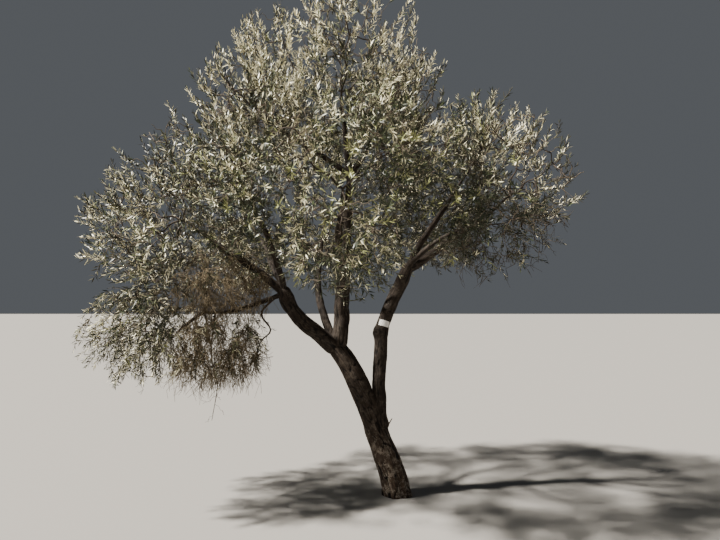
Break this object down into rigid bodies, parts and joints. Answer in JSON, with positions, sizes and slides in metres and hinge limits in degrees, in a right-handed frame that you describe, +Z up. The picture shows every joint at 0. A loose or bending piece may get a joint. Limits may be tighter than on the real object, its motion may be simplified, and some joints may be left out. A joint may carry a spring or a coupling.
{
  "type": "olive tree",
  "caption": "Grown olive tree with a leaning trunk, spreading boughs, hanging twigs and a wide rounded crown of grey-green leaves.",
  "frame": {"origin": "middle of the trunk's flat cut at ground level", "axes": "+Z up, the trunk leans towards -X, and -Y is the side that the picture shows"},
  "size_m": [4.108, 3.1666, 4.177],
  "materials": {
    "bark": "rough furrowed bark",
    "foliage": "small leathery leaves, silvery beneath",
    "label": "matt"
  },
  "bodies": {
    "root": {"arch_foliage_1": "foliage", "arch_foliage_2": "foliage", "arch_foliage_3": "foliage", "arch_limb": "bark", "back_bough": "bark", "back_foliage_1": "foliage", "blank_label": "label", "broken_stub": "bark", "centre_bough": "bark", "centre_leader": "bark", "front_bough": "bark", "front_foliage_1": "foliage", "front_foliage_2": "foliage", "front_foliage_3": "foliage", "hanging_twig_inner": "bark", "hanging_twig_outer": "bark", "inner_back_bough": "bark", "inner_back_foliage_1": "foliage", "inner_back_foliage_2": "foliage", "left_back_bough": "bark", "left_back_foliage_1": "foliage", "left_back_foliage_2": "foliage", "left_bough": "bark", "left_low_bare_twigs_1": "bark", "left_low_bare_twigs_2": "bark", "left_low_bough": "bark", "left_low_foliage_1": "foliage", "left_low_foliage_2": "foliage", "left_low_tip": "bark", "left_rising_bough": "bark", "left_rising_foliage_1": "foliage", "left_rising_foliage_2": "foliage", "left_rising_foliage_3": "foliage", "left_rising_foliage_4": "foliage", "left_upright_bough": "bark", "left_upright_foliage_1": "foliage", "left_upright_foliage_2": "foliage", "left_upright_foliage_3": "foliage", "right_back_bough": "bark", "right_back_foliage_1": "foliage", "right_bough": "bark", "right_front_bough": "bark", "right_front_foliage_1": "foliage", "right_outer_bough": "bark", "right_outer_foliage_1": "foliage", "right_outer_foliage_2": "foliage", "right_outer_foliage_3": "foliage", "right_outer_foliage_4": "foliage", "right_upper_bough": "bark", "right_upper_foliage_1": "foliage", "right_upper_foliage_2": "foliage", "top_foliage_1": "foliage", "top_foliage_2": "foliage", "top_foliage_3": "foliage", "top_foliage_4": "foliage", "top_limb": "bark", "trunk": "bark", "upper_right_foliage_1": "foliage", "upper_right_foliage_2": "foliage", "upper_right_limb": "bark"}
  },
  "joints": []
}
